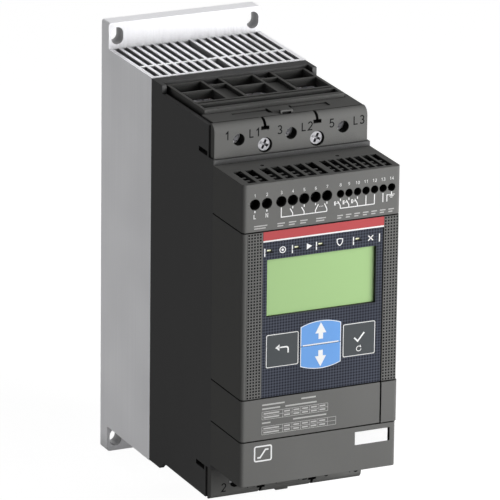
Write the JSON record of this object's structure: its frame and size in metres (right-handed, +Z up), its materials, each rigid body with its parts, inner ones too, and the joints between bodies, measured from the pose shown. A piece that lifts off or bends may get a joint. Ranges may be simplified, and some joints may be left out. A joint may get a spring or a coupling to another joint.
{
  "type": "soft starter",
  "caption": "Panel-mounted soft starter for three-phase motors: finned heat sink with slotted ears, dark housing, shrouded cage-clamp terminals and a front panel with display and keys.",
  "frame": {"origin": "centre of the rear mounting face", "axes": "+Z up along the fins, -Y towards the operator panel, +X to the right seen from the front"},
  "size_m": [0.0904, 0.1854, 0.245],
  "materials": {
    "sink": "satin light grey finish",
    "dark_plastic": "fine moulded grain",
    "grey_plastic": "fine moulded grain",
    "zinc": "bright zinc plate",
    "copper": "bare copper",
    "black_plastic": "moulded",
    "blue_resin": "cast resin",
    "board": "solder mask",
    "overlay": "printed film",
    "display": "green display glass",
    "light": "clear tinted",
    "grey_key": "soft matt",
    "blue_key": "soft matt",
    "label": "plain white film"
  },
  "bodies": {
    "unit": {"heat_sink": "sink", "main_housing": "dark_plastic", "fan_frame": "dark_plastic", "line_shroud": "grey_plastic", "load_shroud": "grey_plastic", "line_window_frame": "grey_plastic", "load_window_frame": "grey_plastic", "control_cover": "grey_plastic", "display_housing": "grey_plastic", "rating_cover": "grey_plastic", "port_cover": "grey_plastic", "bottom_cover": "grey_plastic", "fan_screws": "zinc", "housing_screws": "zinc", "line_shroud_screws": "zinc", "load_shroud_screws": "zinc", "semiconductor_screws": "zinc", "busbar_screws": "zinc", "power_board_screws": "zinc", "large_terminal_screws": "zinc", "small_terminal_screws": "zinc", "control_board_screws": "zinc", "display_board_screws": "zinc", "line_busbars": "copper", "load_busbars": "copper", "middle_busbar": "copper", "semiconductor_1": "black_plastic", "semiconductor_3": "black_plastic", "bypass_relays": "black_plastic", "supply_terminals": "black_plastic", "relay_terminals": "black_plastic", "signal_terminals": "black_plastic", "key_switches": "black_plastic", "current_transformers": "blue_resin", "power_board": "board", "control_board": "board", "display_board": "board", "display_overlay": "overlay", "display_glass": "display", "light_pipes": "light", "marker_label": "label"},
    "rotor": {"fan_rotor": "dark_plastic"},
    "line_screw_1": {"line_clamp_screw_1": "zinc"},
    "line_cage_1": {"line_clamp_1": "zinc"},
    "line_screw_2": {"line_clamp_screw_2": "zinc"},
    "line_cage_2": {"line_clamp_2": "zinc"},
    "line_screw_3": {"line_clamp_screw_3": "zinc"},
    "line_cage_3": {"line_clamp_3": "zinc"},
    "load_screw_1": {"load_clamp_screw_1": "zinc"},
    "load_cage_1": {"load_clamp_1": "zinc"},
    "load_screw_2": {"load_clamp_screw_2": "zinc"},
    "load_cage_2": {"load_clamp_2": "zinc"},
    "load_screw_3": {"load_clamp_screw_3": "zinc"},
    "load_cage_3": {"load_clamp_3": "zinc"},
    "exit_button": {"exit_key": "grey_key"},
    "up_button": {"up_key": "blue_key"},
    "down_button": {"down_key": "blue_key"},
    "select_button": {"select_key": "grey_key"}
  },
  "joints": [
    {"name": "fan_spin", "type": "hinge", "parent": "unit", "child": "rotor", "pos_m": [0, -0.03725, -0.1005], "axis": [0, 0, 1], "continuous": true},
    {"name": "line_screw_turn_1", "type": "hinge", "parent": "unit", "child": "line_screw_1", "pos_m": [-0.03, -0.12, 0.0947], "axis": [0, -1, 0], "range_deg": [0, 2448.5]},
    {"name": "line_clamp_slide_1", "type": "slide", "parent": "unit", "child": "line_cage_1", "axis": [0, 1, 0], "range_m": [0, 0.0085]},
    {"name": "line_screw_turn_2", "type": "hinge", "parent": "unit", "child": "line_screw_2", "pos_m": [0, -0.12, 0.0947], "axis": [0, -1, 0], "range_deg": [0, 2448.5]},
    {"name": "line_clamp_slide_2", "type": "slide", "parent": "unit", "child": "line_cage_2", "axis": [0, 1, 0], "range_m": [0, 0.0085]},
    {"name": "line_screw_turn_3", "type": "hinge", "parent": "unit", "child": "line_screw_3", "pos_m": [0.03, -0.12, 0.0947], "axis": [0, -1, 0], "range_deg": [0, 2448.5]},
    {"name": "line_clamp_slide_3", "type": "slide", "parent": "unit", "child": "line_cage_3", "axis": [0, 1, 0], "range_m": [0, 0.0085]},
    {"name": "load_screw_turn_1", "type": "hinge", "parent": "unit", "child": "load_screw_1", "pos_m": [-0.03, -0.12, -0.0947], "axis": [0, -1, 0], "range_deg": [0, 2448.5]},
    {"name": "load_clamp_slide_1", "type": "slide", "parent": "unit", "child": "load_cage_1", "axis": [0, 1, 0], "range_m": [0, 0.0085]},
    {"name": "load_screw_turn_2", "type": "hinge", "parent": "unit", "child": "load_screw_2", "pos_m": [0, -0.12, -0.0947], "axis": [0, -1, 0], "range_deg": [0, 2448.5]},
    {"name": "load_clamp_slide_2", "type": "slide", "parent": "unit", "child": "load_cage_2", "axis": [0, 1, 0], "range_m": [0, 0.0085]},
    {"name": "load_screw_turn_3", "type": "hinge", "parent": "unit", "child": "load_screw_3", "pos_m": [0.03, -0.12, -0.0947], "axis": [0, -1, 0], "range_deg": [0, 2448.5]},
    {"name": "load_clamp_slide_3", "type": "slide", "parent": "unit", "child": "load_cage_3", "axis": [0, 1, 0], "range_m": [0, 0.0085]},
    {"name": "exit_press", "type": "slide", "parent": "unit", "child": "exit_button", "axis": [0, 1, 0], "range_m": [0, 0.0006], "stiffness_N_per_m": 1500},
    {"name": "up_press", "type": "slide", "parent": "unit", "child": "up_button", "axis": [0, 1, 0], "range_m": [0, 0.0006], "stiffness_N_per_m": 1500},
    {"name": "down_press", "type": "slide", "parent": "unit", "child": "down_button", "axis": [0, 1, 0], "range_m": [0, 0.0006], "stiffness_N_per_m": 1500},
    {"name": "select_press", "type": "slide", "parent": "unit", "child": "select_button", "axis": [0, 1, 0], "range_m": [0, 0.0006], "stiffness_N_per_m": 1500}
  ],
  "couplings": [
    {"joint": "line_screw_turn_1", "follows": "line_clamp_slide_1", "rad_per_m": 5026.6},
    {"joint": "line_screw_turn_2", "follows": "line_clamp_slide_2", "rad_per_m": 5026.6},
    {"joint": "line_screw_turn_3", "follows": "line_clamp_slide_3", "rad_per_m": 5026.6},
    {"joint": "load_screw_turn_1", "follows": "load_clamp_slide_1", "rad_per_m": 5026.6},
    {"joint": "load_screw_turn_2", "follows": "load_clamp_slide_2", "rad_per_m": 5026.6},
    {"joint": "load_screw_turn_3", "follows": "load_clamp_slide_3", "rad_per_m": 5026.6}
  ]
}
